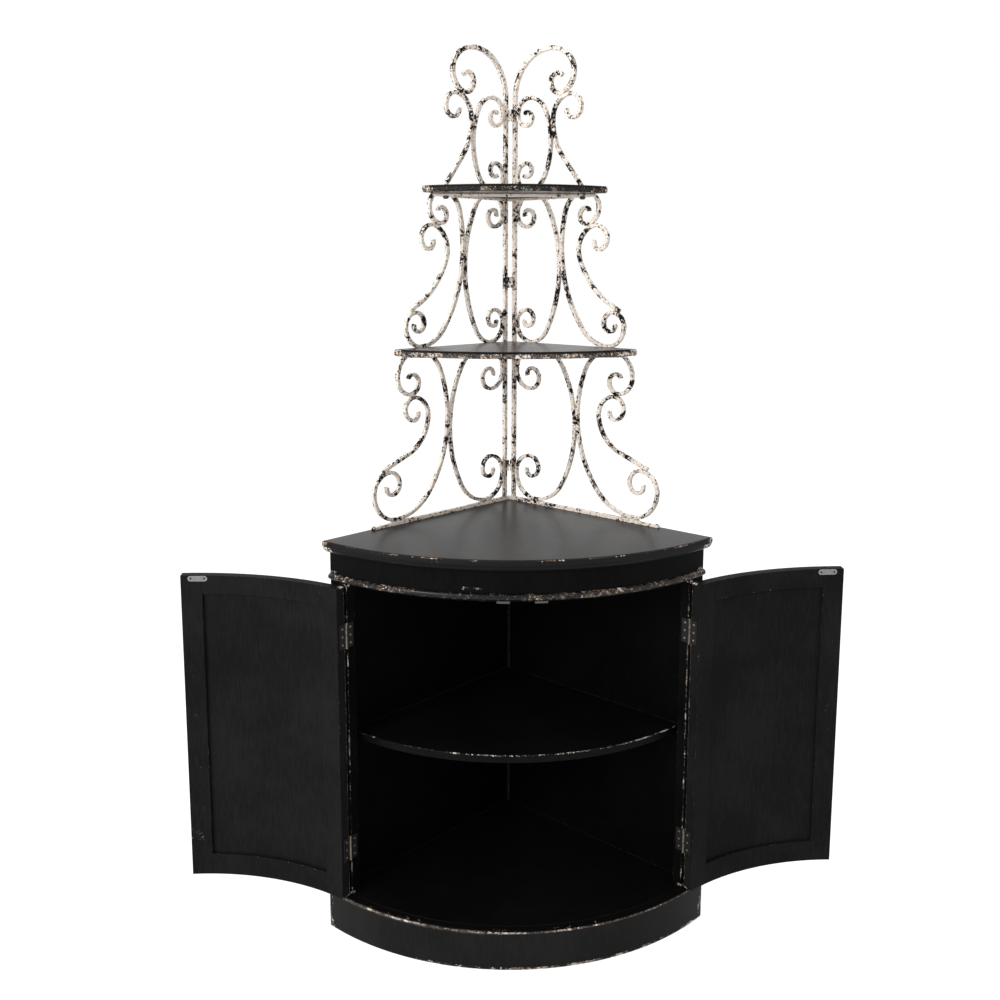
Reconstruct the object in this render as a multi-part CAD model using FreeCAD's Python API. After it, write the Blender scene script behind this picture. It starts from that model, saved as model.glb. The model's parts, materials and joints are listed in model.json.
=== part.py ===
# Corner cabinet with two curved doors and a wrought iron scroll rack
# Origin at the room corner on the floor, +Z up, curved front toward -Y, X = 0 is the middle plane
import FreeCAD, Part
import math
import os

V = FreeCAD.Vector

# Driving dimensions of the cabinet body, in millimetres
body_radius = 538.0
top_overhang = 22.0
top_height = 835.0
top_thickness = 12.0
top_edge_round = 5.0
top_under_round = 3.0
top_tip_round = 5.0
ovolo_height = 14.0
ovolo_reach = 18.0
ovolo_lip = 2.0
front_thickness = 22.0
wall_thickness = 12.0
plinth_step = 20.0
plinth_height = 80.0
bottom_thickness = 18.0
post_width = 49.0
apron_height = 74.0
bead_width = 13.0
bead_rise = 6.0
bead_lift = 2.5
shelf_setback = 16.0
shelf_top = 422.0
shelf_thickness = 16.0
shelf_play = 1.0
cleat_depth = 16.0
cleat_height = 20.0
cleat_length = 380.0
cleat_start = 30.0

# Driving dimensions of the doors
door_play = 3.0
meeting_gap = 3.0
stile_width = 46.0
top_rail_height = 40.0
bottom_rail_height = 46.0
panel_thickness = 7.0
panel_recess = 7.0
groove_depth = 8.0
open_angle = 178.0

# Driving dimensions of the hinges
hinge_height = 50.0
hinge_inset = 78.0
leaf_depth = 15.5
leaf_thickness = 1.5
edge_gap = 3.6
barrel_radius = 3.0
barrel_count = 5
pin_radius = 1.5
pin_play = 0.1
pin_tip = 1.5
barrel_play = 0.3
face_clearance = 0.4

# Driving dimensions of the catches, strike plates and knobs
catch_offset = 37.0
catch_width = 26.0
catch_depth = 14.0
catch_height = 26.0
catch_drop = 12.0
catch_clearance = 0.5
strike_length = 40.0
strike_height = 11.0
strike_thickness = 1.2
strike_drop = 1.0
strike_hole_radius = 1.8
strike_hole_inset = 6.0
knob_height = 444.0
knob_radius = 14.0
knob_neck_radius = 6.0
knob_foot_radius = 9.0
knob_length = 26.0
knob_waist_rise = 10.4
knob_widest_rise = 18.2
knob_bolt_radius = 2.0
knob_bolt_head_radius = 4.5
knob_bolt_head_height = 2.0
knob_bolt_bite = 2.0

# Driving dimensions of the iron rack
rod = 8.0
bar = 9.0
iron_depth = 8.0
wall_offset = 7.0
bar_place = 26.0
rail_height = 8.0
rail_inset = 125.0
foot_length = 56.0
foot_slope = 12.0
foot_thickness = 5.5
weld_gap = 0.05
touch_tolerance = 0.01
lower_tier = 362.0
upper_tier = 337.0
crest_rise = 306.0
crest_curl_height = 207.0
frame_bar = 8.0
frame_height = 6.0
middle_chord_inset = 112.0
top_chord_inset = 84.0
board_thickness = 14.5
board_edge_round = 4.5
board_tip_round = 4.0
middle_board_lift = 3.0
middle_board_front = 360.0
middle_board_arc = 429.0
top_board_lift = 1.5
top_board_front = 278.0
top_board_arc = 346.0
board_play = 0.5
lug_height = 24.0
lug_depth = 16.0
lug_gap = 2.4
lug_bite = 0.8
low_lug_rise = 76.0
middle_lug_rise = 137.0
crest_lug_drop = 38.0
bolt_radius = 2.2
bolt_play = 0.1
bolt_reach = 10.5
bolt_tail = 2.0
nut_size = 4.2
nut_height = 3.0

# Quarter-turn bending radii of each scroll, from the outer turn in to the eye, and the sweep of the eye
inner_low = dict(shoulder=91.0, sweep=60.0, turns=(58.0, 41.0, 26.0, 21.0, 14.0), eye=105.0)
inner_high = dict(shoulder=51.0, sweep=61.0, turns=(43.0, 29.0, 20.0, 17.0, 10.0), eye=110.0)
inner_crest = dict(shoulder=52.0, sweep=64.5, turns=(33.0, 26.0, 15.5, 14.0), eye=130.0)
outer_low = dict(lean=-65.0, shoulder=75.0, low_sweep=52.0, high_sweep=67.0,
                 low_turns=(60.0, 43.0, 28.0, 21.0, 15.0), low_eye=105.0,
                 high_turns=(56.0, 36.0, 24.0, 18.0, 14.0), high_eye=65.0)
outer_high = dict(lean=-66.0, shoulder=55.0, low_sweep=52.0, high_sweep=75.0,
                  low_turns=(42.0, 30.0, 23.0, 17.5, 12.0), low_eye=110.0,
                  high_turns=(37.0, 33.0, 17.5, 16.5, 9.0), high_eye=80.0)
brace_low = dict(heading=159.0, bend=88.0, lead=62.0, turns=(42.0, 26.0, 24.0, 14.0), eye=112.0)
brace_high = dict(heading=151.0, bend=185.0, lead=40.0, turns=(53.0, 32.0, 23.0, 15.0), eye=130.0)
brace_crest = dict(heading=129.0, bend=125.0, lead=42.0, turns=(47.0, 29.0, 21.0, 19.0), eye=90.0)
crest_bend = 95.0
crest_bend_sweep = 112.0
crest_turns = (64.0, 43.0, 26.0, 17.0)
crest_sweeps = (35.0, 105.0, 108.0, 145.0)

# Values worked out from the driving dimensions
HALF = math.sqrt(0.5)
edge_angle = 45.0
quarter = 90.0
beyond_angle = edge_angle + 15.0
spare_angle = 1.0
inner_radius = body_radius - front_thickness
top_radius = body_radius + top_overhang
plinth_radius = body_radius + plinth_step
plinth_inner = plinth_radius - front_thickness
shelf_radius = inner_radius - shelf_setback
top_under = top_height - top_thickness
apron_bottom = top_under - apron_height
door_bottom = plinth_height + door_play
door_top = apron_bottom - door_play
pin_circle = body_radius + barrel_radius + face_clearance
hinge_angle = edge_angle - math.degrees(post_width / body_radius)
panel_inner = inner_radius + panel_recess
panel_outer = panel_inner + panel_thickness
rail_top = top_height + rail_height
rail_length = top_radius - rail_inset
middle_level = rail_top + lower_tier
top_level = middle_level + upper_tier
rack_height = top_level + crest_rise
rod_front = wall_offset + iron_depth
middle_board_under = middle_level + middle_board_lift - board_thickness
top_board_under = top_level + top_board_lift - board_thickness
FAR = 2.0 * top_radius
NEAR = FAR / 8.0


def polar(radius, angle, z=0.0):
    a = math.radians(angle)
    return V(radius * math.sin(a), -radius * math.cos(a), z)


def arc_degrees(length, radius):
    return math.degrees(length / radius)


def ring(r_in, r_out, z_low, z_high, a_start, a_end):
    # Part of a curved board between two radii, two heights and two angles from the middle plane
    a_mid = (a_start + a_end) / 2.0
    outer = Part.Arc(polar(r_out, a_start), polar(r_out, a_mid), polar(r_out, a_end)).toShape()
    if r_in > 0:
        inner = Part.Arc(polar(r_in, a_end), polar(r_in, a_mid), polar(r_in, a_start)).toShape()
        side_a = Part.makeLine(polar(r_out, a_end), polar(r_in, a_end))
        side_b = Part.makeLine(polar(r_in, a_start), polar(r_out, a_start))
        edges = [outer, side_a, inner, side_b]
    else:
        side_a = Part.makeLine(polar(r_out, a_end), V(0, 0, 0))
        side_b = Part.makeLine(V(0, 0, 0), polar(r_out, a_start))
        edges = [outer, side_a, side_b]
    solid = Part.Face(Part.Wire(edges)).extrude(V(0, 0, z_high - z_low))
    solid.translate(V(0, 0, z_low))
    return solid


def box(x0, x1, y0, y1, z0, z1):
    return Part.makeBox(x1 - x0, y1 - y0, z1 - z0, V(x0, y0, z0))


def mirrored(shape):
    return shape.mirror(V(0, 0, 0), V(1, 0, 0))


def on_wall(shape):
    # From wall coordinates (along the right wall, up, inward) to the cabinet's frame
    place = FreeCAD.Placement(FreeCAD.Matrix(HALF, 0, -HALF, 0, -HALF, 0, -HALF, 0, 0, 1, 0, 0, 0, 0, 0, 1))
    moved = shape.copy()
    moved.Placement = place.multiply(moved.Placement)
    return moved


def wall_box(s0, s1, z0, z1, w0, w1):
    return on_wall(box(s0, s1, z0, z1, w0, w1))


def at_hinge(shape):
    # From hinge coordinates (x toward the post, y inward, pin at zero) to the cabinet's frame
    moved = shape.copy()
    moved.rotate(V(0, 0, 0), V(0, 0, 1), hinge_angle)
    moved.translate(polar(pin_circle, hinge_angle))
    return moved


def group(solids):
    return Part.makeCompound(solids)


def inside_walls(shape, offset):
    # Trims a shape to the space between the two walls, held off by the offset
    keep = wall_box(-FAR, FAR, -FAR, 2 * FAR, offset, 2 * FAR)
    return shape.common(keep).common(mirrored(keep))


# Cabinet body
def make_tabletop():
    slab = ring(0, top_radius, top_under, top_height, -edge_angle, edge_angle)
    tips = [e for e in slab.Edges if is_upright(e) and e.Vertexes[0].Point.y < -top_tip_round]
    slab = slab.makeFillet(top_tip_round, tips)
    upper = [e for e in slab.Edges if e.BoundBox.ZMin > top_height - ovolo_lip]
    slab = slab.makeFillet(top_edge_round, upper)
    lower = [e for e in slab.Edges if e.BoundBox.ZMax < top_under + ovolo_lip]
    return slab.makeFillet(top_under_round, lower)


def is_upright(edge):
    low = min(v.Point.z for v in edge.Vertexes)
    high = max(v.Point.z for v in edge.Vertexes)
    return high - low > top_edge_round


def make_ovolo():
    # Quarter-round moulding under the tabletop's overhang
    r = body_radius
    h = ovolo_height
    outer = r + ovolo_reach
    lip = r + ovolo_lip
    slant = math.radians(edge_angle)
    belly = V(lip + (outer - lip) * math.sin(slant), 0, h - h * math.cos(slant))
    bulge = Part.Arc(V(outer, 0, h), belly, V(lip, 0, 0)).toShape()
    profile = [Part.makeLine(V(r, 0, 0), V(r, 0, h)), Part.makeLine(V(r, 0, h), V(outer, 0, h)),
               bulge, Part.makeLine(V(lip, 0, 0), V(r, 0, 0))]
    strip = Part.Face(Part.Wire(profile)).revolve(V(0, 0, 0), V(0, 0, 1), 2 * edge_angle)
    strip.rotate(V(0, 0, 0), V(0, 0, 1), -quarter - edge_angle)
    strip.translate(V(0, 0, top_under - h))
    return strip


def make_bead():
    r = body_radius
    w = bead_width
    nose = Part.Arc(V(r, 0, 0), V(r + bead_rise, 0, w / 2.0), V(r, 0, w)).toShape()
    profile = [nose, Part.makeLine(V(r, 0, w), V(r, 0, 0))]
    strip = Part.Face(Part.Wire(profile)).revolve(V(0, 0, 0), V(0, 0, 1), 2 * edge_angle)
    strip.rotate(V(0, 0, 0), V(0, 0, 1), -quarter - edge_angle)
    strip.translate(V(0, 0, apron_bottom + bead_lift))
    return strip


def make_body():
    parts = {}
    plinth = ring(plinth_inner, plinth_radius, 0, plinth_height, -edge_angle, edge_angle)
    apron = ring(inner_radius, body_radius, apron_bottom, top_under, -edge_angle, edge_angle)
    near_edge = hinge_angle - spare_angle
    post = ring(inner_radius, body_radius, plinth_height, apron_bottom, near_edge, edge_angle)
    post = post.cut(at_hinge(box(-NEAR, edge_gap / 2, -NEAR, NEAR, 0, FAR)))
    low_room = ring(0, plinth_inner, 0, plinth_height, -beyond_angle, beyond_angle)
    high_room = ring(0, inner_radius, plinth_height, top_under, -beyond_angle, beyond_angle)
    slab = wall_box(0, FAR, 0, top_under, 0, wall_thickness)
    side = inside_walls(slab.common(low_room).fuse(slab.common(high_room)).removeSplitter(), 0.0)
    parts["left_wall_panel"] = mirrored(side)
    parts["right_wall_panel"] = side.cut(mirrored(slab))
    parts["plinth"] = plinth
    parts["right_post"] = post
    parts["left_post"] = mirrored(post)
    parts["apron"] = apron
    parts["bead_moulding"] = make_bead()
    parts["ovolo_moulding"] = make_ovolo()
    parts["tabletop"] = make_tabletop()
    floor = ring(0, plinth_inner, plinth_height - bottom_thickness, plinth_height,
                 -edge_angle, edge_angle)
    parts["bottom_board"] = inside_walls(floor, wall_thickness)
    shelf = ring(0, shelf_radius, shelf_top - shelf_thickness, shelf_top, -edge_angle, edge_angle)
    parts["interior_shelf"] = inside_walls(shelf, wall_thickness + shelf_play)
    under = shelf_top - shelf_thickness
    cleat = wall_box(cleat_start, cleat_start + cleat_length, under - cleat_height, under,
                     wall_thickness, wall_thickness + cleat_depth)
    parts["shelf_cleats"] = group([mirrored(cleat), cleat])
    return parts


# Hinges
def hinge_levels():
    return (door_bottom + hinge_inset, door_top - hinge_inset - hinge_height)


def leaf_with_barrels(sign, segments):
    # One leaf: a plate flat on its wood edge, its barrels on the pin joined to it by tabs of the same sheet
    outer = edge_gap / 2.0
    inner = outer - leaf_thickness
    x0, x1 = sorted((sign * inner, sign * outer))
    root = barrel_radius + barrel_play
    leaf = box(x0, x1, root, face_clearance + barrel_radius + leaf_depth, 0, hinge_height)
    pitch = hinge_height / barrel_count
    for k in segments:
        low = k * pitch + barrel_play / 2.0
        high = (k + 1) * pitch - barrel_play / 2.0
        barrel = Part.makeCylinder(barrel_radius, high - low, V(0, 0, low))
        bore = Part.makeCylinder(pin_radius + pin_play, high - low, V(0, 0, low))
        tab = box(x0, x1, 0, root, low, high)
        leaf = leaf.fuse(tab).fuse(barrel).cut(bore)
    return leaf.removeSplitter()


def make_hinges():
    jamb = leaf_with_barrels(1, range(0, barrel_count, 2))
    door = leaf_with_barrels(-1, range(1, barrel_count, 2))
    pin = Part.makeCylinder(pin_radius, hinge_height + 2 * pin_tip, V(0, 0, -pin_tip))
    out = dict(jamb=[], door=[], pin=[])
    for level in hinge_levels():
        for name, shape in (("jamb", jamb), ("door", door), ("pin", pin)):
            out[name].append(at_hinge(shape.translated(V(0, 0, level))))
    return out


# Doors, made shut and on the right-hand side
def make_door(hinges):
    free_edge = box(-FAR, meeting_gap / 2.0, -FAR, FAR, -FAR, FAR)
    hinge_edge = at_hinge(box(-edge_gap / 2.0, NEAR, -NEAR, NEAR, -FAR, FAR))
    stile = arc_degrees(stile_width, body_radius)
    first = arc_degrees(meeting_gap / 2.0, body_radius) + stile
    last = hinge_angle - arc_degrees(edge_gap / 2.0, body_radius) - stile
    tongue = arc_degrees(groove_depth, panel_inner)
    low_rail = door_bottom + bottom_rail_height
    high_rail = door_top - top_rail_height
    panel = ring(panel_inner, panel_outer, low_rail - groove_depth, high_rail + groove_depth,
                 first - tongue, last + tongue)
    parts = {}
    tenons = []
    for name, z0, z1 in (("bottom_rail", door_bottom, low_rail), ("top_rail", high_rail, door_top)):
        rail = ring(inner_radius, body_radius, z0, z1, first, last)
        tenon = ring(panel_inner, panel_outer, z0, z1, first - tongue, last + tongue)
        tenons.append(tenon)
        parts[name] = rail.fuse(tenon).removeSplitter().cut(panel)
    free = ring(inner_radius, body_radius, door_bottom, door_top, -spare_angle, first).cut(free_edge)
    fixed = ring(inner_radius, body_radius, door_bottom, door_top, last, hinge_angle + spare_angle)
    fixed = fixed.cut(hinge_edge)
    for cutter in [panel] + tenons:
        free = free.cut(cutter)
        fixed = fixed.cut(cutter)
    knob, bolt_hole, strike = make_door_fittings()
    parts["meeting_stile"] = free.cut(bolt_hole)
    parts["hinge_stile"] = fixed
    parts["panel"] = panel
    parts["leaves"] = group(hinges["door"])
    parts["knob"] = knob
    parts["strike_plate"] = strike
    return parts


def make_door_fittings():
    # Turned knob with its bolt through the meeting stile, and the curved strike plate inside
    angle = arc_degrees(meeting_gap / 2.0 + stile_width / 2.0, body_radius)
    foot, neck, crown, tall = knob_foot_radius, knob_neck_radius, knob_radius, knob_length
    waist = knob_waist_rise
    widest = knob_widest_rise
    centre = (tall ** 2 - crown ** 2 - widest ** 2) / (2.0 * (tall - widest))
    dome = tall - centre
    lean = math.asin(crown / dome) / 2.0
    outline = [Part.makeLine(V(foot, 0, 0), V(neck, 0, waist)),
               Part.makeLine(V(neck, 0, waist), V(crown, 0, widest)),
               Part.Arc(V(crown, 0, widest), V(dome * math.sin(lean), 0, centre + dome * math.cos(lean)),
                        V(0, 0, tall)).toShape(),
               Part.makeLine(V(0, 0, tall), V(0, 0, 0)), Part.makeLine(V(0, 0, 0), V(foot, 0, 0))]
    turned = Part.Face(Part.Wire(outline)).revolve(V(0, 0, 0), V(0, 0, 1), 360)
    seat = -front_thickness - weld_gap
    bolt = Part.makeCylinder(knob_bolt_radius, front_thickness + knob_bolt_bite, V(0, 0, seat))
    under = seat - knob_bolt_head_height
    head = Part.makeCylinder(knob_bolt_head_radius, knob_bolt_head_height, V(0, 0, under))
    back = V(0, 0, -1.5 * front_thickness)
    hole = Part.makeCylinder(knob_bolt_radius + bolt_play, 2 * front_thickness, back)

    def onto_door(shape):
        moved = shape.copy()
        moved.rotate(V(0, 0, 0), V(1, 0, 0), quarter)
        moved.rotate(V(0, 0, 0), V(0, 0, 1), angle)
        moved.translate(polar(body_radius, angle, knob_height))
        return moved

    knob = onto_door(turned.fuse(bolt).fuse(head).removeSplitter())
    middle = arc_degrees(catch_offset, inner_radius)
    half = arc_degrees(strike_length / 2.0, inner_radius)
    high = door_top - strike_drop
    strike = ring(inner_radius - strike_thickness, inner_radius, high - strike_height, high,
                  middle - half, middle + half)
    strike = strike.common(round_ended(strike_length, strike_height, middle, high - strike_height / 2.0))
    for sign in (-1, 1):
        a = middle + sign * (half - arc_degrees(strike_hole_inset, inner_radius))
        spot = polar(inner_radius - 2 * strike_thickness, a, high - strike_height / 2.0)
        hole_depth = 4 * strike_thickness
        strike = strike.cut(Part.makeCylinder(strike_hole_radius, hole_depth, spot, polar(1.0, a)))
    return knob, onto_door(hole), strike


def round_ended(length, height, angle, level):
    # Bar with half-round ends, lying across a curved front at an angle and a level
    depth = 4 * front_thickness
    end = height / 2.0
    flat = length / 2.0 - end
    outline = box(-flat, flat, -depth, depth, -end, end)
    for x in (-flat, flat):
        outline = outline.fuse(Part.makeCylinder(end, 2 * depth, V(x, -depth, 0), V(0, 1, 0)))
    outline.rotate(V(0, 0, 0), V(0, 0, 1), angle)
    outline.translate(polar(inner_radius, angle, level))
    return outline


def make_catches():
    middle = arc_degrees(catch_offset, inner_radius)
    face = inner_radius - strike_thickness - catch_clearance
    low = apron_bottom - catch_drop
    block = box(-catch_width / 2, catch_width / 2, -NEAR, catch_depth, low, low + catch_height)
    block.rotate(V(0, 0, 0), V(0, 0, 1), middle)
    block.translate(polar(inner_radius, middle))
    below = ring(0, face, low, apron_bottom, -beyond_angle, beyond_angle)
    above = ring(0, inner_radius, apron_bottom, low + catch_height, -beyond_angle, beyond_angle)
    body = block.common(below.fuse(above))
    return group([mirrored(body), body])


# Iron rack: every rod is a chain of tangent bends in the plane of its wall
def bend_points(start, heading, runs):
    # Centre line of a bent rod as (kind, start, middle, end, heading at start, heading at end)
    x, y = start
    h = heading
    out = []
    for radius, amount in runs:
        if radius == 0:
            nx = x + amount * math.cos(math.radians(h))
            ny = y + amount * math.sin(math.radians(h))
            out.append(("line", (x, y), None, (nx, ny), h, h, 0.0, None, 0))
        else:
            turn = 1.0 if amount > 0 else -1.0
            cx = x - turn * radius * math.sin(math.radians(h))
            cy = y + turn * radius * math.cos(math.radians(h))
            end = h + amount
            nx = cx + turn * radius * math.sin(math.radians(end))
            ny = cy - turn * radius * math.cos(math.radians(end))
            out.append(("arc", (x, y), None, (nx, ny), h, end, radius, (cx, cy), turn))
            h = end
        x, y = nx, ny
    return out


def side_edge(run, offset):
    # The edge that lies the given offset to the left of one run of the centre line
    kind, start, _, end, h0, h1, radius, centre, turn = run

    def shifted(point, h):
        a = math.radians(h)
        return V(point[0] - offset * math.sin(a), point[1] + offset * math.cos(a), 0)

    if kind == "line":
        return Part.makeLine(shifted(start, h0), shifted(end, h1))
    r = radius - turn * offset
    half_way = math.radians((h0 + h1) / 2.0)
    mid = V(centre[0] + turn * r * math.sin(half_way), centre[1] - turn * r * math.cos(half_way), 0)
    return Part.Arc(shifted(start, h0), mid, shifted(end, h1)).toShape()


def centre_wire(runs):
    return Part.Wire([side_edge(run, 0.0) for run in runs])


def bent_bar(runs, width):
    # Square bar bent along the runs, its section drawn from both side edges and its cut ends
    left = [side_edge(run, width / 2.0) for run in runs]
    right = [side_edge(run, -width / 2.0) for run in runs]
    far_end = Part.makeLine(left[-1].lastVertex(True).Point, right[-1].lastVertex(True).Point)
    near_end = Part.makeLine(right[0].firstVertex(True).Point, left[0].firstVertex(True).Point)
    loop = Part.Wire(Part.__sortEdges__(left + [far_end] + right + [near_end]))
    solid = Part.Face(loop).extrude(V(0, 0, iron_depth))
    solid.translate(V(0, 0, wall_offset))
    return solid


def quarter_turns(turns, eye, hand):
    runs = [(r, hand * quarter) for r in turns[:-1]]
    return runs + [(turns[-1], hand * eye)]


def unit_arc(h0, sweep):
    h1 = h0 + sweep
    return (math.sin(math.radians(h1)) - math.sin(math.radians(h0)),
            math.cos(math.radians(h0)) - math.cos(math.radians(h1)))


def back_bends(lean, rise, low_sweep, high_sweep, high_radius):
    # Lower shoulder and middle bend that carry a scroll's back from its foot to its top
    middle_sweep = 180.0 - low_sweep - high_sweep
    a = unit_arc(0.0, low_sweep)
    b = unit_arc(low_sweep, middle_sweep)
    c = unit_arc(low_sweep + middle_sweep, high_sweep)
    dx = lean - high_radius * c[0]
    dy = rise - high_radius * c[1]
    det = a[0] * b[1] - a[1] * b[0]
    low_radius = (dx * b[1] - dy * b[0]) / det
    middle_radius = (a[0] * dy - a[1] * dx) / det
    return [(low_radius, low_sweep), (middle_radius, middle_sweep), (high_radius, high_sweep)]


def reverse_runs(runs):
    return [(r, -amount if r else amount) for r, amount in reversed(runs)]


def c_scroll(foot, hand, back, low_curl, high_curl):
    # A C-scroll with a curl at each end, hand +1 opens toward the corner, -1 away from it
    turned = [(r, hand * sweep) for r, sweep in back]
    heading = 0.0 if hand > 0 else 180.0
    lower = bend_points(foot, heading + 180.0, low_curl)
    tip = lower[-1]
    start = tip[3]
    start_heading = tip[5] + 180.0
    return bend_points(start, start_heading, reverse_runs(low_curl) + turned + high_curl)


def slide_to_touch(wire, neighbours, direction, reach):
    # Moves a centre line along a direction until it comes to the spacing asked for from a neighbour
    travel = 0.0
    step = V(direction[0], direction[1], 0)
    while travel < reach:
        free = min(wire.distToShape(other)[0] - spacing for other, spacing in neighbours)
        if free < touch_tolerance:
            break
        wire.translate(step * free)
        travel += free
    return travel


def inner_scroll(level, rise, shape, bar_face):
    r = shape["turns"][0]
    foot = (bar_face + weld_gap + rod / 2.0 + r, level + rod / 2.0)
    back = back_bends(0.0, rise - rod, shape["sweep"], shape["sweep"], shape["shoulder"])
    low = quarter_turns(shape["turns"], shape["eye"], -1)
    high = quarter_turns(shape["turns"], shape["eye"], 1)
    return c_scroll(foot, 1, back, low, high)


def outer_scroll(level, rise, shape, neighbour):
    # Mirror-handed scroll, slid toward the corner until its back meets the inner scroll's back
    sweeps = (shape["low_sweep"], shape["high_sweep"])
    back = back_bends(-shape["lean"], rise - rod, *sweeps, shape["shoulder"])
    low = quarter_turns(shape["low_turns"], shape["low_eye"], 1)
    high = quarter_turns(shape["high_turns"], shape["high_eye"], -1)
    place = 2.0 * neighbour.BoundBox.XMax
    start = c_scroll((place, level + rod / 2.0), -1, back, low, high)
    travel = slide_to_touch(centre_wire(start), [(neighbour, rod + weld_gap)], (-1, 0), place)
    foot = (place - travel, level + rod / 2.0)
    return foot, c_scroll(foot, -1, back, low, high)


def brace_scroll(shape, foot, scroll):
    # S-scroll that leaves the curl below it on a tangent and rises until its own curl meets the one above
    curl = scroll["low_turns"]
    centre = (foot[0] + curl[0] - curl[1], foot[1] + curl[0])
    radius = curl[1] + rod + weld_gap
    a = math.radians(shape["heading"] - quarter)
    start = (centre[0] + radius * math.cos(a), centre[1] + radius * math.sin(a))
    return start


def brace_runs(shape, leg):
    return [(0, leg), (shape["bend"], -shape["lead"])] + quarter_turns(shape["turns"], shape["eye"], -1)


def raised_brace(shape, start, scroll, reach):
    h = math.radians(shape["heading"])
    first = rod
    upper = bend_points(start, shape["heading"], brace_runs(shape, first))[1:]
    direction = (math.cos(h), math.sin(h))
    travel = slide_to_touch(centre_wire(upper), [(scroll, rod + weld_gap)], direction, reach)
    return bend_points(start, shape["heading"], brace_runs(shape, first + travel))


def crest_bar_runs(start_level):
    # The upright bar, bent over at its top into the crest curl
    sweeps = [-crest_bend_sweep] + [-a for a in crest_sweeps]
    radii = [crest_bend] + list(crest_turns)
    bends = list(zip(radii, sweeps))
    shape = bend_points((0.0, 0.0), quarter, bends)
    height = centre_wire(shape).BoundBox.YMax
    straight = rack_height - bar / 2.0 - height - start_level
    return bend_points((bar_place, start_level), quarter, [(0, straight)] + bends)


def lug_levels():
    crest_start = crest_bar_runs(rail_top)[0][3][1]
    return (rail_top + low_lug_rise, middle_level + middle_lug_rise, crest_start - crest_lug_drop)


def crest_brace(inner, crest):
    # The crest's S-scroll stands on the level below, leans on the inner scroll and carries the crest curl
    shape = brace_crest
    runs = brace_runs(shape, rod)[1:]
    curl = centre_wire(crest[1:])
    wire = centre_wire(bend_points((0.0, 0.0), shape["heading"], runs))
    start = (2.0 * inner.BoundBox.XMax, curl.BoundBox.YMin - wire.BoundBox.YMax - 2.0 * rod)
    wire.translate(V(start[0], start[1], 0))
    beside = (inner, rod + weld_gap)
    above = (curl, (rod + bar) / 2.0 + weld_gap)
    left = slide_to_touch(wire, [beside], (-1, 0), start[0])
    up = slide_to_touch(wire, [above], (0, 1), crest_curl_height)
    left += slide_to_touch(wire, [beside, above], (-1, 0), start[0])
    joint = (start[0] - left, start[1] + up)
    h = math.radians(shape["heading"])
    leg = (joint[1] - top_level) / math.sin(h) + rod
    foot = (joint[0] - leg * math.cos(h), joint[1] - leg * math.sin(h))
    return bend_points(foot, shape["heading"], [(0, leg)] + runs)


def make_rack():
    parts = {}
    face = bar_place + bar / 2.0
    crest = crest_bar_runs(rail_top)
    tiers = (("low", rail_top, lower_tier, inner_low, outer_low, brace_low),
             ("high", middle_level, upper_tier, inner_high, outer_high, brace_high))
    flat = {"crest_bar": bent_bar(crest, bar)}
    for name, level, rise, inner_shape, outer_shape, brace_shape in tiers:
        inner = inner_scroll(level, rise, inner_shape, face)
        inner_line = centre_wire(inner)
        foot, outer = outer_scroll(level, rise, outer_shape, inner_line)
        outer_line = centre_wire(outer)
        start = brace_scroll(brace_shape, foot, outer_shape)
        brace = raised_brace(brace_shape, start, outer_line, rise)
        flat[name + "_inner_scroll"] = bent_bar(inner, rod)
        flat[name + "_outer_scroll"] = bent_bar(outer, rod)
        flat[name + "_brace_scroll"] = bent_bar(brace, rod)
    inner = inner_scroll(top_level, crest_curl_height, inner_crest, face)
    flat["crest_inner_scroll"] = bent_bar(inner, rod)
    brace = bent_bar(crest_brace(centre_wire(inner), crest), rod)
    flat["crest_brace_scroll"] = brace.cut(box(-FAR, FAR, top_level - FAR, top_level, -FAR, FAR))
    flat["base_rail"] = base_rail()
    for name, shape in flat.items():
        piece = on_wall(shape)
        if name == "crest_bar":
            piece = with_lugs(piece)
        if name == "base_rail":
            piece = piece.common(box(0, FAR, -FAR, FAR, 0, FAR))
        parts["right_" + name] = piece
        parts["left_" + name] = mirrored(piece)
    return parts


def base_rail():
    # Flat rail along the wall edge of the tabletop, forged flatter toward its outer end
    z0 = top_height
    z1 = rail_top
    foot_top = top_height + foot_thickness
    end = rail_length
    slope = end - foot_length
    outline = [V(0, z0, 0), V(end, z0, 0), V(end, foot_top, 0), V(slope + foot_slope, foot_top, 0),
               V(slope, z1, 0), V(0, z1, 0)]
    rail = Part.Face(Part.makePolygon(outline + [outline[0]])).extrude(V(0, 0, iron_depth))
    rail.translate(V(0, 0, wall_offset))
    return rail


def bar_edge():
    # Distance from the middle plane of the upright's nearest edge, and that edge's place front to back
    near = bar_place - bar / 2.0
    return (near - rod_front) * HALF, -(near + rod_front) * HALF


def with_lugs(upright):
    # Lugs welded on the upright's inner edge, with holes for the joining bolts
    x, y = bar_edge()
    for z in lug_levels():
        lug = box(lug_gap / 2.0, x + lug_bite, y - lug_depth + lug_bite, y + lug_bite,
                  z - lug_height / 2.0, z + lug_height / 2.0)
        hole = Part.makeCylinder(bolt_radius + bolt_play, lug_depth, V(0, y - bolt_reach, z), V(1, 0, 0))
        upright = upright.fuse(lug.cut(hole))
    return upright.removeSplitter()


def hexagon(size, x0, x1, y, z):
    # Six-sided head or nut lying along X
    points = [V(x0, y + size * math.cos(math.radians(a)), z + size * math.sin(math.radians(a)))
              for a in range(0, 361, 60)]
    return Part.Face(Part.makePolygon(points)).extrude(V(x1 - x0, 0, 0))


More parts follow.
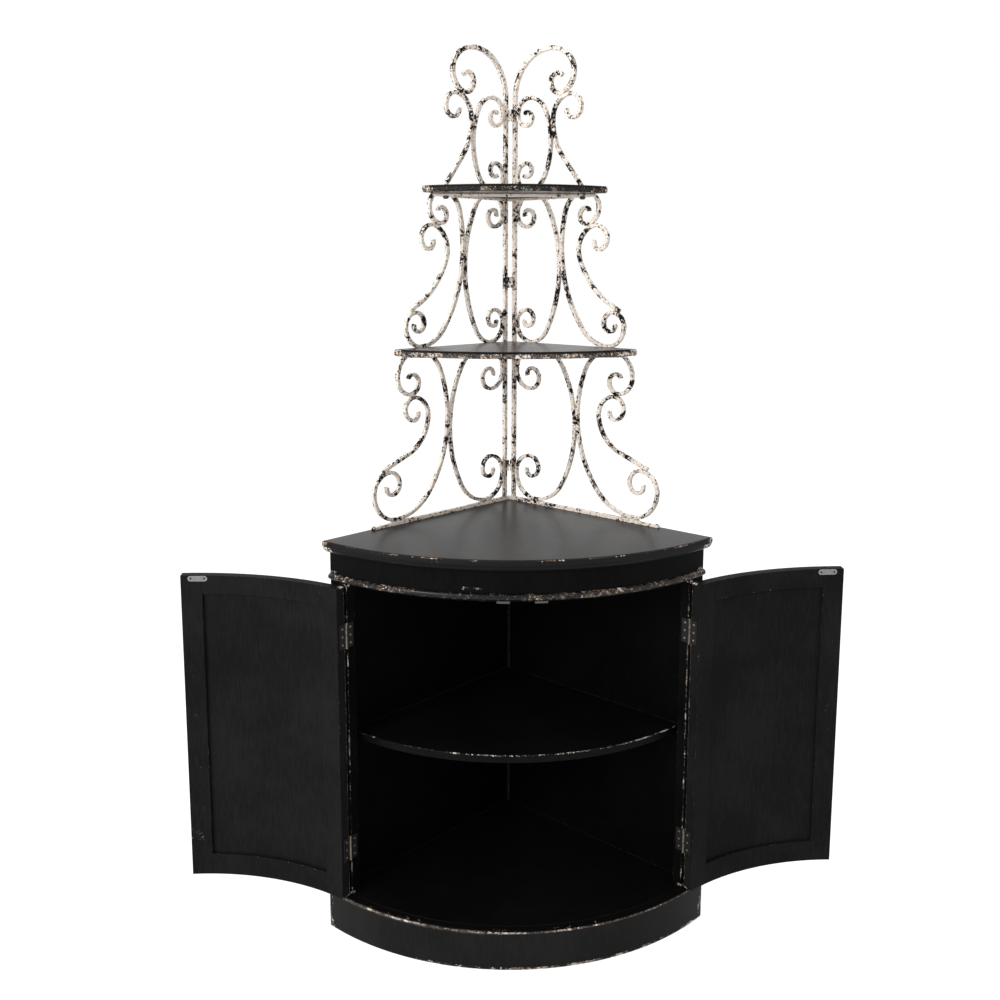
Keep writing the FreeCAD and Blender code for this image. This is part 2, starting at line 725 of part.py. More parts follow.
def make_joining_bolts():
    x, y = bar_edge()
    seat = x + lug_bite
    bolts = []
    place = y - bolt_reach
    length = 2.0 * seat + bolt_tail + nut_height
    for z in lug_levels():
        shank = Part.makeCylinder(bolt_radius, length, V(-seat, place, z), V(1, 0, 0))
        head = hexagon(nut_size, -seat - nut_height, -seat, place, z)
        nut = hexagon(nut_size, seat, seat + nut_height, place, z)
        bolts.append(shank.fuse(head).fuse(nut).removeSplitter())
    return group(bolts)


def make_frames():
    parts = {}
    for name, under, chord in (("middle", middle_board_under, middle_board_front - middle_chord_inset),
                               ("top", top_board_under, top_board_front - top_chord_inset)):
        outer = triangle(rod_front, chord)
        inner = triangle(rod_front + frame_bar, chord - frame_bar)
        frame = outer.cut(inner)
        frame = frame.extrude(V(0, 0, -frame_height))
        frame.translate(V(0, 0, under))
        parts[name + "_shelf_frame"] = frame
    return parts


def triangle(offset, chord):
    tip = offset / HALF
    half = chord - tip
    corners = [V(0, -tip, 0), V(half, -chord, 0), V(-half, -chord, 0), V(0, -tip, 0)]
    return Part.Face(Part.makePolygon(corners))


def make_boards():
    parts = {}
    for name, under, front, arc in (("middle", middle_board_under, middle_board_front, middle_board_arc),
                                    ("top", top_board_under, top_board_front, top_board_arc)):
        disc = Part.makeCylinder(arc, board_thickness, V(0, arc - front, under))
        board = inside_walls(disc, rod_front + board_play)
        tips = [e for e in board.Edges if is_upright(e) and e.Vertexes[0].Point.y < -front / 2.0]
        board = board.makeFillet(board_tip_round, tips)
        rim = [e for e in board.Edges if e.Curve.TypeId == "Part::GeomCircle"]
        parts[name + "_display_shelf"] = board.makeFillet(board_edge_round, rim)
    return parts


parts = {}
hinges = make_hinges()
parts.update(make_body())
parts["magnetic_catches"] = make_catches()
door = make_door(hinges)
for name, shape in door.items():
    opened = shape.copy()
    opened.rotate(polar(pin_circle, hinge_angle), V(0, 0, 1), open_angle)
    parts["right_door_" + name] = opened
    parts["left_door_" + name] = mirrored(opened)
parts["jamb_leaves"] = group(hinges["jamb"] + [mirrored(s) for s in hinges["jamb"]])
parts["hinge_pins"] = group(hinges["pin"] + [mirrored(s) for s in hinges["pin"]])
parts.update(make_rack())
parts["joining_bolts"] = make_joining_bolts()
parts.update(make_frames())
parts.update(make_boards())

os.makedirs("parts", exist_ok=True)
for name, shape in parts.items():
    shape.exportStep("parts/" + name + ".step")
    print(name, len(shape.Solids), shape.isValid(), round(shape.Volume))
print(len(parts), "nodes")
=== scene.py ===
# Corner cabinet with two curved doors and a wrought iron scroll rack, dressed for the photograph's view
import json
import math
import bmesh
import bpy
from mathutils import Matrix, Vector


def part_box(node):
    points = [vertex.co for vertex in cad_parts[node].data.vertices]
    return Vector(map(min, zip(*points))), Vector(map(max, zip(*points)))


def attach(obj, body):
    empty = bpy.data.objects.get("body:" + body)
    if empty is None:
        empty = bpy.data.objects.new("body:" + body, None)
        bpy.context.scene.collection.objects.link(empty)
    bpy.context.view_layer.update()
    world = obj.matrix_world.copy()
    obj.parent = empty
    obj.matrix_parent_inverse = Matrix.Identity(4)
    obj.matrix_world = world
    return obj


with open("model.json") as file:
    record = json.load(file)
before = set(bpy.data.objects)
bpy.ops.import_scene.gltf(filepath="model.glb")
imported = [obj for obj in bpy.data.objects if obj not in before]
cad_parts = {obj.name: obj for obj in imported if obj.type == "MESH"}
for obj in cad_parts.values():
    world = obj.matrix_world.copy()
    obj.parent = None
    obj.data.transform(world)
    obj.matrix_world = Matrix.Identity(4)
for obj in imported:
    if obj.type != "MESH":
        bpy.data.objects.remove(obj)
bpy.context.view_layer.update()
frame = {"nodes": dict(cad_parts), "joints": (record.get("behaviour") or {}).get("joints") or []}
nodes = frame["nodes"]
scene = bpy.context.scene
MM = 0.001


# The photograph's camera, solved from the tabletop, the plinth and the shelves
PHOTO_SIZE = 1000.0
FOCAL_PIXELS = 1065.69
PRINCIPAL_ROW = 428.38
SENSOR = 36.0
CLIP_END = 100.0
CAMERA_PLACE = Vector((-0.1315, -2.4811, 1.3714))
CAMERA_YAW = math.radians(2.5543)
CAMERA_PITCH = math.radians(8.491)
CAMERA_ROLL = math.radians(0.1179)


def make_camera():
    data = bpy.data.cameras.new("camera")
    data.sensor_width = SENSOR
    data.lens = FOCAL_PIXELS / PHOTO_SIZE * SENSOR
    data.shift_y = (PRINCIPAL_ROW - PHOTO_SIZE / 2.0) / PHOTO_SIZE
    data.clip_end = CLIP_END
    camera = bpy.data.objects.new("camera", data)
    scene.collection.objects.link(camera)
    forward = Vector((math.sin(CAMERA_YAW) * math.cos(CAMERA_PITCH),
                      math.cos(CAMERA_YAW) * math.cos(CAMERA_PITCH),
                      -math.sin(CAMERA_PITCH)))
    level = Vector((math.cos(CAMERA_YAW), -math.sin(CAMERA_YAW), 0.0))
    upright = level.cross(forward)
    right = level * math.cos(CAMERA_ROLL) + upright * math.sin(CAMERA_ROLL)
    up = right.cross(forward)
    turn = Matrix((right, up, -forward)).transposed().to_4x4()
    camera.matrix_world = Matrix.Translation(CAMERA_PLACE) @ turn
    scene.camera = camera


# The cabinet's sizes, read from the frame
table_low, table_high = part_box("tabletop")
TABLE_RADIUS = -table_low.y
TABLE_TOP = table_high.z
plinth_low, plinth_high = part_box("plinth")
PLINTH_RADIUS = -plinth_low.y
PLINTH_TOP = plinth_high.z
PLINTH_SIDE = plinth_high.x
apron_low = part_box("apron")[0]
BODY_RADIUS = -apron_low.y
APRON_BOTTOM = apron_low.z
shelf_low, shelf_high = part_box("interior_shelf")
SHELF_RADIUS = -shelf_low.y
SHELF_TOP = shelf_high.z
SHELF_TO_WALL = -shelf_high.y * math.sqrt(0.5)
stile_low, stile_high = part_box("right_door_hinge_stile")
DOOR_BOTTOM = stile_low.z
DOOR_TOP = stile_high.z

# The right-hand hinge pin's upright line and its angle about the room corner; the left one mirrors it
pin_x, pin_y = frame["joints"][0]["pos_m"][:2]
PIN = Vector((abs(pin_x), -abs(pin_y), 0.0))
PIN_CIRCLE = PIN.length
HINGE_ANGLE = math.atan2(PIN.x, -PIN.y)
OPEN_ANGLE = math.radians(178.0)

# The right-hand post's sharp edge beside the door, a little off the hinge's angle
POST_EDGE = (BODY_RADIUS * math.sin(HINGE_ANGLE) + 1.4 * MM,
             -BODY_RADIUS * math.cos(HINGE_ANGLE) + 1.2 * MM)


class Tree:
    # Short ways to build a node tree
    def __init__(self, tree):
        self.tree = tree

    def feed(self, socket, value):
        # Links an output to the socket, or sets the socket to a plain value
        if hasattr(value, "is_output"):
            self.tree.links.new(value, socket)
        else:
            socket.default_value = value

    def make(self, kind, sockets, output=0, **settings):
        # A new node with its sockets fed, by name or number; gives one of its outputs
        made = self.tree.nodes.new(kind)
        for key, value in settings.items():
            setattr(made, key, value)
        for key, value in sockets.items():
            self.feed(made.inputs[key], value)
        return made.outputs[output]

    def maths(self, operation, a, b=0.0, clamp=False):
        return self.make("ShaderNodeMath", {0: a, 1: b}, operation=operation, use_clamp=clamp)

    def chained(self, operation, values):
        total = values[0]
        for value in values[1:]:
            total = self.maths(operation, total, value)
        return total

    def add(self, *values):
        return self.chained("ADD", values)

    def times(self, *values):
        return self.chained("MULTIPLY", values)

    def most(self, *values):
        return self.chained("MAXIMUM", values)

    def minus(self, a, b):
        return self.maths("SUBTRACT", a, b)


class Graph(Tree):
    # The nodes of one material, all placed by the piece's own coordinates, in metres
    def __init__(self, name):
        self.material = bpy.data.materials.new(name)
        self.material.use_nodes = True
        super().__init__(self.material.node_tree)
        self.shader = self.tree.nodes["Principled BSDF"]
        self.place = self.make("ShaderNodeTexCoord", {}, "Object")

    def vector_maths(self, operation, a, b):
        return self.make("ShaderNodeVectorMath", {0: a, 1: b}, operation=operation)

    def stretched(self, scale):
        return self.vector_maths("MULTIPLY", self.place, scale)

    def noise(self, scale, detail=3.0, rough=0.55, where=None, shift=None, colour=False):
        source = where or self.place
        if shift:
            source = self.vector_maths("ADD", source, shift)
        sockets = {"Vector": source, "Scale": scale, "Detail": detail, "Roughness": rough}
        return self.make("ShaderNodeTexNoise", sockets, "Color" if colour else "Fac")

    def warped(self, scale, reach):
        # The surface's own coordinates, shaken sideways so that cells get ragged outlines
        shake = self.vector_maths("SUBTRACT", self.noise(scale, detail=2.0, colour=True), (0.5, 0.5, 0.5))
        return self.vector_maths("ADD", self.place, self.vector_maths("MULTIPLY", shake, (reach,) * 3))

    def cells(self, scale, where):
        # A random number from 0 to 1 for each flake-shaped cell
        tint = self.make("ShaderNodeTexVoronoi", {"Vector": where, "Scale": scale}, "Color", feature="F1")
        return self.make("ShaderNodeSeparateColor", {0: tint})

    def step(self, value, start, full):
        # 0 where the value is at start, 1 where it is at full, and smooth between; start may be the larger
        sockets = {"Value": value, "From Min": start, "From Max": full}
        return self.make("ShaderNodeMapRange", sockets, "Result", interpolation_type="SMOOTHSTEP")

    def spread(self, value, low, high):
        # Lays a value from 0 to 1 out between low and high
        return self.make("ShaderNodeMapRange", {"Value": value, "To Min": low, "To Max": high}, "Result")

    def blend(self, share, first, second):
        return self.make("ShaderNodeMix", {"Factor": share, 6: first, 7: second}, 2, data_type="RGBA")

    def axis(self, letter):
        return self.make("ShaderNodeSeparateXYZ", {0: self.place}, letter)

    def sideways(self):
        return self.maths("ABSOLUTE", self.axis("X"))

    def height(self):
        return self.axis("Z")

    def apart(self, a, b):
        return self.maths("SQRT", self.add(self.times(a, a), self.times(b, b)))

    def from_corner(self):
        # Distance from the upright line through the room corner, the centre of every curved front
        return self.apart(self.axis("X"), self.axis("Y"))

    def from_line(self, place):
        # Distance from an upright line and its mirror image
        return self.apart(self.minus(self.sideways(), place[0]), self.minus(self.axis("Y"), place[1]))

    def from_rim(self, radius, level):
        # Distance from a curved edge at a radius and a level
        return self.apart(self.minus(self.from_corner(), radius), self.minus(self.height(), level))

    def from_wall(self):
        # Distance from the nearer of the two walls
        return self.times(self.minus(self.times(self.axis("Y"), -1.0), self.sideways()), math.sqrt(0.5))

    def edges(self, reach):
        # Nearly 1 along the piece's outer edges, 0 on its flats
        hidden = self.make("ShaderNodeAmbientOcclusion", {"Distance": reach}, "AO",
                           inside=True, only_local=True, samples=6)
        return self.maths("MULTIPLY", self.minus(1.0, hidden), 2.0, clamp=True)

    def bump(self, height, distance, strength, under=None):
        sockets = {"Height": height, "Distance": distance, "Strength": strength}
        if under:
            sockets["Normal"] = under
        return self.make("ShaderNodeBump", sockets, "Normal")

    def finish(self, colour, rough, normal=None, metal=None, gloss=None):
        sockets = {"Base Color": colour, "Roughness": rough, "Normal": normal, "Metallic": metal,
                   "Specular IOR Level": gloss}
        for name, value in sockets.items():
            if value is not None:
                self.feed(self.shader.inputs[name], value)
        return self.material


def rgb(r, g, b):
    return (r, g, b, 1.0)


# Colours, as linear light; each paint has a tone and a worn tone
BLACK_PAINT = rgb(0.0021, 0.0021, 0.0022)
BODY_TONES = (BLACK_PAINT, rgb(0.0044, 0.0042, 0.0040))
DOOR_TONES = (rgb(0.0086, 0.0086, 0.0090), rgb(0.0142, 0.0140, 0.0144))
INSIDE_TONES = (rgb(0.0012, 0.0012, 0.0012), rgb(0.0026, 0.0025, 0.0024))
SHELF_TONES = (rgb(0.0030, 0.0029, 0.0029), rgb(0.0054, 0.0052, 0.0050))
TABLE_TONES = (rgb(0.007, 0.0066, 0.0064), rgb(0.014, 0.013, 0.012))
PLINTH_TONES = (rgb(0.0075, 0.0072, 0.0070), rgb(0.013, 0.0125, 0.012))
DISPLAY_TONES = (rgb(0.016, 0.0126, 0.0104), rgb(0.032, 0.0250, 0.0200))
CREAM_CHIP = rgb(0.820, 0.750, 0.660)
TAN_CHIP = rgb(0.300, 0.190, 0.120)
RED_CHIP = rgb(0.085, 0.032, 0.018)
# Brown-grey of thin rubbed paint, also used for a painted highlight along the plinth's rim
RUB_AND_HIGHLIGHT = rgb(0.150, 0.118, 0.100)
IRON_CREAM = rgb(0.920, 0.825, 0.725)
IRON_SHADE = rgb(0.770, 0.650, 0.530)
IRON_BARE = rgb(0.0045, 0.0036, 0.0032)
IRON_RUST = rgb(0.230, 0.135, 0.085)

# Scales that stretch the brush strokes: upright, along the tabletop's width, and along a shelf's
BRUSHED_UP = (30.0, 30.0, 4.0)
BRUSHED_ACROSS = (4.0, 26.0, 26.0)
BRUSHED_SHELF = (5.0, 40.0, 20.0)

# Level of noise that unworn paint would need to chip, and how far full wear lowers it
CHIP_LEVEL = 0.76
CHIP_DROP = 0.30
CHIP_SOFTNESS = 0.02
FLAKE_SOFTNESS = 0.01


def chip_colour(g, pale):
    # What shows under the black paint: pale undercoat, bare wood and a red-brown ground coat
    wood = g.blend(g.step(g.noise(120.0, detail=2.0, shift=(3.1, 0.7, 1.9)), 0.44, 0.52), RED_CHIP, TAN_CHIP)
    undercoat = g.step(g.noise(210.0, detail=2.0, shift=(0.4, 5.2, 2.2)), pale - 0.03, pale + 0.03)
    return g.blend(undercoat, wood, CREAM_CHIP)


def chips(g, wear, size):
    # Irregular flakes: the more wear, the lower the level that the noise has to reach
    fine = g.noise(size, detail=2.0, rough=0.6)
    broad = g.noise(90.0, detail=3.0, rough=0.6, shift=(7.7, 1.3, 4.4))
    field = g.add(g.times(fine, 0.6), g.times(broad, 0.4))
    level = g.minus(CHIP_LEVEL, g.times(wear, CHIP_DROP))
    return g.step(g.minus(field, level), -CHIP_SOFTNESS, CHIP_SOFTNESS)


def painted_wood(name, wear, tones=BODY_TONES, rough=(0.33, 0.50), gloss=0.06, brush=BRUSHED_UP, pale=0.50,
                 painted_shade=None, rub_and_highlight=None, chip_size=470.0):
    # Satin black paint over wood. The functions for wear, painted shade and rub take the graph and say, from
    # 0 to 1, how much the paint is chipped, how far it is darkened to black as painted shade, and how far it
    # is lightened to brown-grey, as thin rubbed paint and, along the plinth's rim, as a painted highlight. A
    # higher pale leaves less of the pale undercoat in the chips.
    g = Graph(name)
    flakes = chips(g, wear(g), chip_size)
    cloud = g.noise(7.0)
    streak = g.noise(9.0, detail=4.0, rough=0.6, where=g.stretched(brush))
    paint = g.blend(g.step(g.add(g.times(cloud, 0.5), g.times(streak, 0.5)), 0.38, 0.64), *tones)
    dull = 0.0
    # Painted shade: where the shade function asks, the paint is darkened to black and dulled
    if painted_shade:
        shade = painted_shade(g)
        paint = g.blend(shade, paint, BLACK_PAINT)
        dull = g.times(shade, 0.30)
    # Thin rubbed paint, and along the plinth's rim a painted highlight, both as brown-grey specks
    if rub_and_highlight:
        speckle = g.step(g.noise(330.0, detail=3.0, rough=0.7, shift=(5.5, 2.5, 6.5)), 0.38, 0.62)
        paint = g.blend(g.times(rub_and_highlight(g), speckle), paint, RUB_AND_HIGHLIGHT)
    colour = g.blend(flakes, paint, chip_colour(g, pale))
    shine = g.maths("ADD", g.spread(streak, *rough), g.times(flakes, 0.3), clamp=True)
    shine = g.maths("ADD", shine, dull, clamp=True)
    grain = g.bump(streak, 0.25 * MM, 0.5)
    flaked = g.bump(g.minus(1.0, flakes), 0.35 * MM, 0.8, under=grain)
    return g.finish(colour, shine, flaked, gloss=gloss)


def make_iron(name, worn):
    # Cream paint over black iron, flaked off in patches that gather along the rods' corners
    g = Graph(name)
    edge = g.edges(2.6 * MM)
    flake = g.cells(240.0, g.warped(215.0, 6.5 * MM))
    speck = g.cells(640.0, g.warped(420.0, 2.0 * MM))
    patch = g.step(g.noise(32.0, detail=2.0, rough=0.5), 0.51, 0.60)
    run = g.step(g.noise(27.0, detail=2.0, rough=0.5, shift=(2.0, 9.1, 4.2)), 0.45, 0.53)
    # Shares of the flakes and of the specks that are gone
    share = g.times(g.add(g.times(patch, 0.56), g.times(edge, run, 0.70), 0.03), worn)
    dots = g.times(g.add(g.times(patch, 0.14), 0.025), worn)
    bare = g.most(g.step(g.minus(share, flake), -FLAKE_SOFTNESS, FLAKE_SOFTNESS),
                  g.step(g.minus(dots, speck), -FLAKE_SOFTNESS, FLAKE_SOFTNESS))
    stain = g.step(g.minus(g.add(share, 0.10), flake), -FLAKE_SOFTNESS, FLAKE_SOFTNESS)
    dirt = g.noise(70.0, detail=3.0, rough=0.6, shift=(1.5, 4.5, 0.5))
    paint = g.blend(g.step(dirt, 0.50, 0.80), IRON_CREAM, IRON_SHADE)
    stained = g.blend(g.times(stain, 0.55), paint, IRON_RUST)
    colour = g.blend(bare, stained, IRON_BARE)
    rough = g.add(g.spread(dirt, 0.42, 0.62), g.times(bare, 0.15))
    lumps = g.bump(g.noise(150.0, detail=2.0), 0.5 * MM, 0.6)
    flaked = g.bump(g.minus(1.0, bare), 0.4 * MM, 0.9, under=lumps)
    return g.finish(colour, rough, flaked, gloss=0.12)


def make_plain_metal(name, light, dark, rough):
    g = Graph(name)
    cloud = g.noise(240.0, detail=4.0, rough=0.6)
    normal = g.bump(g.noise(700.0, detail=2.0), 0.05 * MM, 0.4)
    return g.finish(g.blend(cloud, light, dark), g.spread(cloud, rough, rough + 0.18), normal, metal=1.0)


def make_strike():
    # Zinc plate, dulled in the middle and bright along its rim
    g = Graph("strike_steel")
    rim = g.edges(0.9 * MM)
    cloud = g.noise(200.0, detail=3.0, rough=0.6)
    bright = g.add(g.times(rim, 0.6), g.times(cloud, 0.4))
    colour = g.blend(bright, rgb(0.11, 0.115, 0.12), rgb(0.60, 0.60, 0.59))
    return g.finish(colour, g.spread(cloud, 0.26, 0.44), g.bump(cloud, 0.06 * MM, 0.4), metal=1.0)


def make_leaf():
    # Blackened hinge leaves; a band of bright brass along each barrel's outer side is partly rubbed wear and
    # partly a painted highlight
    g = Graph("leaf_steel")
    # Painted highlight, partly rubbed wear: the brass band is kept to the barrel's outer side, away from the
    # room corner
    barrel = g.times(g.step(g.from_line(PIN), 3.5 * MM, 3.15 * MM),
                     g.step(g.from_corner(), PIN_CIRCLE + 0.8 * MM, PIN_CIRCLE + 2.2 * MM))
    cloud = g.noise(260.0, detail=4.0, rough=0.6)
    rub_and_highlight = g.times(barrel, g.step(g.noise(330.0, detail=2.0), 0.36, 0.46))
    dark = g.blend(cloud, rgb(0.020, 0.018, 0.016), rgb(0.006, 0.006, 0.006))
    brass = g.blend(cloud, rgb(0.30, 0.27, 0.20), rgb(0.14, 0.12, 0.085))
    return g.finish(g.blend(rub_and_highlight, dark, brass), g.spread(cloud, 0.34, 0.52), g.bump(cloud, 0.08 * MM, 0.5),
                    metal=g.times(rub_and_highlight, 0.8), gloss=0.25)


def make_plastic():
    g = Graph("catch_plastic")
    cloud = g.noise(300.0)
    tone = g.blend(cloud, rgb(0.010, 0.010, 0.010), rgb(0.020, 0.019, 0.018))
    return g.finish(tone, g.spread(cloud, 0.38, 0.52), g.bump(cloud, 0.05 * MM, 0.4), gloss=0.25)


# Wear of each painted piece, from 0 to 1: chips begin at about 0.4. A pair of places is where the wear
# starts and where it is full, in metres sideways of the middle, or toward the right where it has a sign
TABLE_TIP = (0.372, 0.390)
OVOLO_TIP = (0.358, 0.380)
APRON_TIP = (0.345, 0.375)
BEAD_LEFT = (-0.16, -0.26)
BEAD_RIGHT = (-0.02, 0.04)
SPECKS_FROM = (-0.122, -0.114)
SPECKS_TO = (-0.074, -0.082)
SHELF_WORN = (-0.24, -0.12)
FOOT_WORN = (-0.30, -0.16)
PLINTH_LEFT = (-0.02, -0.10)
LEFT_DOOR = (0.0, -0.1)
SCUFF_FROM_PIN = (0.325, 0.335)
SCUFF_HEIGHT = 80.0 * MM


def patches(g, low=0.42, high=0.60, scale=16.0):
    # Soft patches over the surface, larger for a smaller scale
    return g.step(g.noise(scale, detail=2.0, rough=0.5, shift=(4.2, 6.1, 8.3)), low, high)


def patchy(g, least, more, **spots):
    # A wear of at least so much, and some more of it in patches
    return g.add(least, g.times(patches(g, **spots), more))


def table_wear(g):
    # Chips along the upper rim, at the two tips and in patches of the nose
    upper = g.step(g.from_rim(TABLE_RADIUS, TABLE_TOP), 4.6 * MM, 1.6 * MM)
    tip = g.step(g.sideways(), *TABLE_TIP)
    nose = g.step(g.from_corner(), TABLE_RADIUS - 5.0 * MM, TABLE_RADIUS - 1.0 * MM)
    along = g.times(upper, patchy(g, 0.42, 0.50))
    return g.most(along, g.times(tip, nose, 0.95), g.times(nose, patches(g), 0.36))


def nose_painted_shade(g):
    # Painted shade: the table's front edge, darkened to black
    return g.step(g.from_corner(), TABLE_RADIUS - 7.0 * MM, TABLE_RADIUS - 2.0 * MM)


def ovolo_wear(g):
    # Bare tips, and little wear between them
    return g.most(g.times(g.step(g.sideways(), *OVOLO_TIP), 0.90), g.times(patches(g), 0.22))


def bead_wear(g):
    # Chipped all along, but least a little left of the middle
    x = g.axis("X")
    beside = g.most(g.step(x, *BEAD_LEFT), g.step(x, *BEAD_RIGHT))
    return g.add(0.40, g.times(beside, 0.19), g.times(patches(g, scale=30.0), 0.16))


def apron_specks(g):
    # A few white specks left of the apron's middle
    x = g.axis("X")
    across = g.times(g.step(x, *SPECKS_FROM), g.step(x, *SPECKS_TO))
    up = g.times(g.step(g.height(), APRON_BOTTOM + 20.0 * MM, APRON_BOTTOM + 22.0 * MM),
                 g.step(g.height(), APRON_BOTTOM + 28.0 * MM, APRON_BOTTOM + 26.0 * MM))
    return g.times(across, up, 0.58)


def door_ends(g, reach):
    # The levels of the doors' top and bottom edges
    return g.most(g.step(g.height(), DOOR_TOP - reach, DOOR_TOP),
                  g.step(g.height(), DOOR_BOTTOM + reach, DOOR_BOTTOM))


def body_wear(g):
    # Specks on the apron, and chips down the posts' edges beside the doors, at the doors' corners, at the
    # apron's ends and along every outer edge
    below = g.step(g.height(), APRON_BOTTOM + 1.0 * MM, APRON_BOTTOM - 1.0 * MM)
    line = g.times(g.step(g.from_line(POST_EDGE), 3.4 * MM, 0.8 * MM), below,
                   patchy(g, 0.54, 0.28, low=0.46, high=0.60, scale=22.0))
    near = g.step(g.from_line(POST_EDGE), 22.0 * MM, 4.0 * MM)
    corners = g.times(door_ends(g, 9.0 * MM), near, below, 0.85)
    seam = g.times(g.step(g.from_rim(BODY_RADIUS, APRON_BOTTOM + 17.0 * MM), 14.0 * MM, 2.0 * MM),
                   g.step(g.sideways(), *APRON_TIP))
    return g.most(apron_specks(g), line, corners, g.times(seam, 0.72), g.times(g.edges(3.0 * MM), 0.60))


def door_wear(g):
    # Chips along every edge, most of them near the hinges, and a scuff low on the left door's free edge
    near = g.step(g.from_line(PIN), 30.0 * MM, 8.0 * MM)
    edge = g.times(g.edges(3.6 * MM), g.add(0.42, g.times(near, 0.45)))
    corners = g.times(door_ends(g, 8.0 * MM), near, 0.95)
    off_scuff = g.maths("ABSOLUTE", g.minus(g.height(), DOOR_BOTTOM + SCUFF_HEIGHT))
    scuffed = g.times(g.step(g.from_line(PIN), *SCUFF_FROM_PIN), g.step(off_scuff, 50.0 * MM, 12.0 * MM),
                      g.step(g.axis("X"), *LEFT_DOOR))
    return g.most(edge, corners, g.times(scuffed, 0.40))


def shelf_wear(g):
    # Chips along the front rim, fewer toward the left
    rim = g.step(g.from_rim(SHELF_RADIUS, SHELF_TOP), 4.0 * MM, 1.0 * MM)
    rightward = g.step(g.axis("X"), *SHELF_WORN)
    return g.times(rim, g.add(0.46, g.times(rightward, 0.12), g.times(patches(g), 0.24)))


def shelf_seam(g):
    # The pale line where a board meets the walls, plainer on the shelf than on the bottom board
    line = g.step(g.from_wall(), SHELF_TO_WALL + 2.8 * MM, SHELF_TO_WALL + 1.6 * MM)
    upper = g.step(g.height(), SHELF_TOP - 40.0 * MM, SHELF_TOP - 30.0 * MM)
    return g.times(line, g.add(0.30, g.times(upper, 0.70)))


def corner_seam(g):
    # The pale line where the two wall panels meet
    meeting = SHELF_TO_WALL * math.sqrt(2.0)
    return g.times(g.step(g.from_corner(), meeting + 2.6 * MM, meeting + 1.0 * MM), 0.38)


def plinth_wear(g):
    # Chips along the upper rim and its ledge, at the foot right of the left end, and at both ends
    rim = g.step(g.from_rim(PLINTH_RADIUS, PLINTH_TOP), 4.5 * MM, 1.2 * MM)
    ledge = g.times(g.step(g.from_corner(), BODY_RADIUS + 3.0 * MM, BODY_RADIUS + 9.0 * MM),
                    g.step(g.height(), PLINTH_TOP - 2.0 * MM, PLINTH_TOP - 1.0 * MM))
    foot = g.times(g.step(g.from_rim(PLINTH_RADIUS, 0.0), 9.0 * MM, 4.0 * MM),
                   g.step(g.axis("X"), *FOOT_WORN), patchy(g, 0.56, 0.30, scale=26.0))
    ends = g.step(g.sideways(), PLINTH_SIDE - 16.0 * MM, PLINTH_SIDE - 5.0 * MM)
    return g.most(g.times(rim, patchy(g, 0.50, 0.38)), g.times(ledge, patches(g, 0.46, 0.58), 0.50),
                  foot, g.times(ends, patchy(g, 0.48, 0.32, scale=30.0)))


def plinth_rim_highlight(g):
    # Painted highlight: a light speckled line along the plinth's upper rim, in a wider band on the left
    rim = g.from_rim(PLINTH_RADIUS, PLINTH_TOP)
    wide = g.times(g.step(g.axis("X"), *PLINTH_LEFT), g.step(rim, 6.5 * MM, 2.0 * MM))
    reach = g.most(g.step(rim, 3.6 * MM, 1.4 * MM), wide)
    return g.times(reach, patchy(g, 0.35, 0.65, low=0.36, high=0.56, scale=40.0))


def ledge_painted_shade(g):
    # Painted shade: the plinth's top, darkened to be as dark as the floor of the cupboard
    return g.step(g.height(), PLINTH_TOP - 1.6 * MM, PLINTH_TOP - 0.6 * MM)


def upright_share(g):
    # 1 on a board's edge, 0 on its top and underside
    normal = g.make("ShaderNodeTexCoord", {}, "Normal")
    steepness = g.maths("ABSOLUTE", g.make("ShaderNodeSeparateXYZ", {0: normal}, "Z"))
    return g.step(steepness, 0.95, 0.80)


def display_wear(top, half_width, amount):
    # Chips along a display shelf's edge: more of them low down and at its two tips
    def wear(g):
        side = upright_share(g)
        lower = g.step(g.height(), top - 2.5 * MM, top - 6.0 * MM)
        tip = g.step(g.sideways(), half_width - 22.0 * MM, half_width - 12.0 * MM)
        along = g.times(side, g.add(0.20, g.times(lower, amount, patchy(g, 0.40, 0.36, scale=24.0))))
        return g.most(along, g.times(tip, side, 0.42 + 0.60 * amount))
    return wear


def display_rubbed(top, amount):
    # Thin paint along the lower half of a display shelf's edge
    return lambda g: g.times(upright_share(g), g.step(g.height(), top - 3.0 * MM, top - 6.0 * MM), amount)


def even_edges(reach, amount):
    # The same wear along every outer edge
    return lambda g: g.times(g.edges(reach), amount)


# Each painted finish: its wear, and where its look differs from the usual one
PAINTS = {
    "body": dict(wear=body_wear, pale=0.44, gloss=0.030, chip_size=600.0),
    "inside": dict(wear=even_edges(2.0 * MM, 0.5), tones=INSIDE_TONES, rough=(0.45, 0.62), gloss=0.03,
                   rub_and_highlight=corner_seam),
    "shelf": dict(wear=shelf_wear, tones=SHELF_TONES, rough=(0.34, 0.48), brush=BRUSHED_SHELF, pale=0.40,
                  gloss=0.04, rub_and_highlight=shelf_seam),
    "door": dict(wear=door_wear, tones=DOOR_TONES, rough=(0.34, 0.48), pale=0.38, gloss=0.012),
    "panel": dict(wear=even_edges(2.0 * MM, 0.3), tones=DOOR_TONES, rough=(0.34, 0.46), gloss=0.012),
    "knob": dict(wear=even_edges(2.0 * MM, 0.3), tones=DOOR_TONES, gloss=0.08),
    "table": dict(wear=table_wear, tones=TABLE_TONES, rough=(0.26, 0.40), brush=BRUSHED_ACROSS, pale=0.58,
                  gloss=0.17, chip_size=580.0, painted_shade=nose_painted_shade),
    "bead": dict(wear=bead_wear, rough=(0.22, 0.34), pale=0.56, gloss=0.23, chip_size=640.0),
    "ovolo": dict(wear=ovolo_wear, pale=0.44, gloss=0.10),
    "plinth": dict(wear=plinth_wear, tones=PLINTH_TONES, rough=(0.36, 0.5), pale=0.48, painted_shade=ledge_painted_shade,
                   rub_and_highlight=plinth_rim_highlight),
}

# Each display shelf: how thin its paint is rubbed and how much it is chipped
DISPLAY_SHELVES = {"middle": (0.85, 1.0), "top": (0.25, 0.62)}

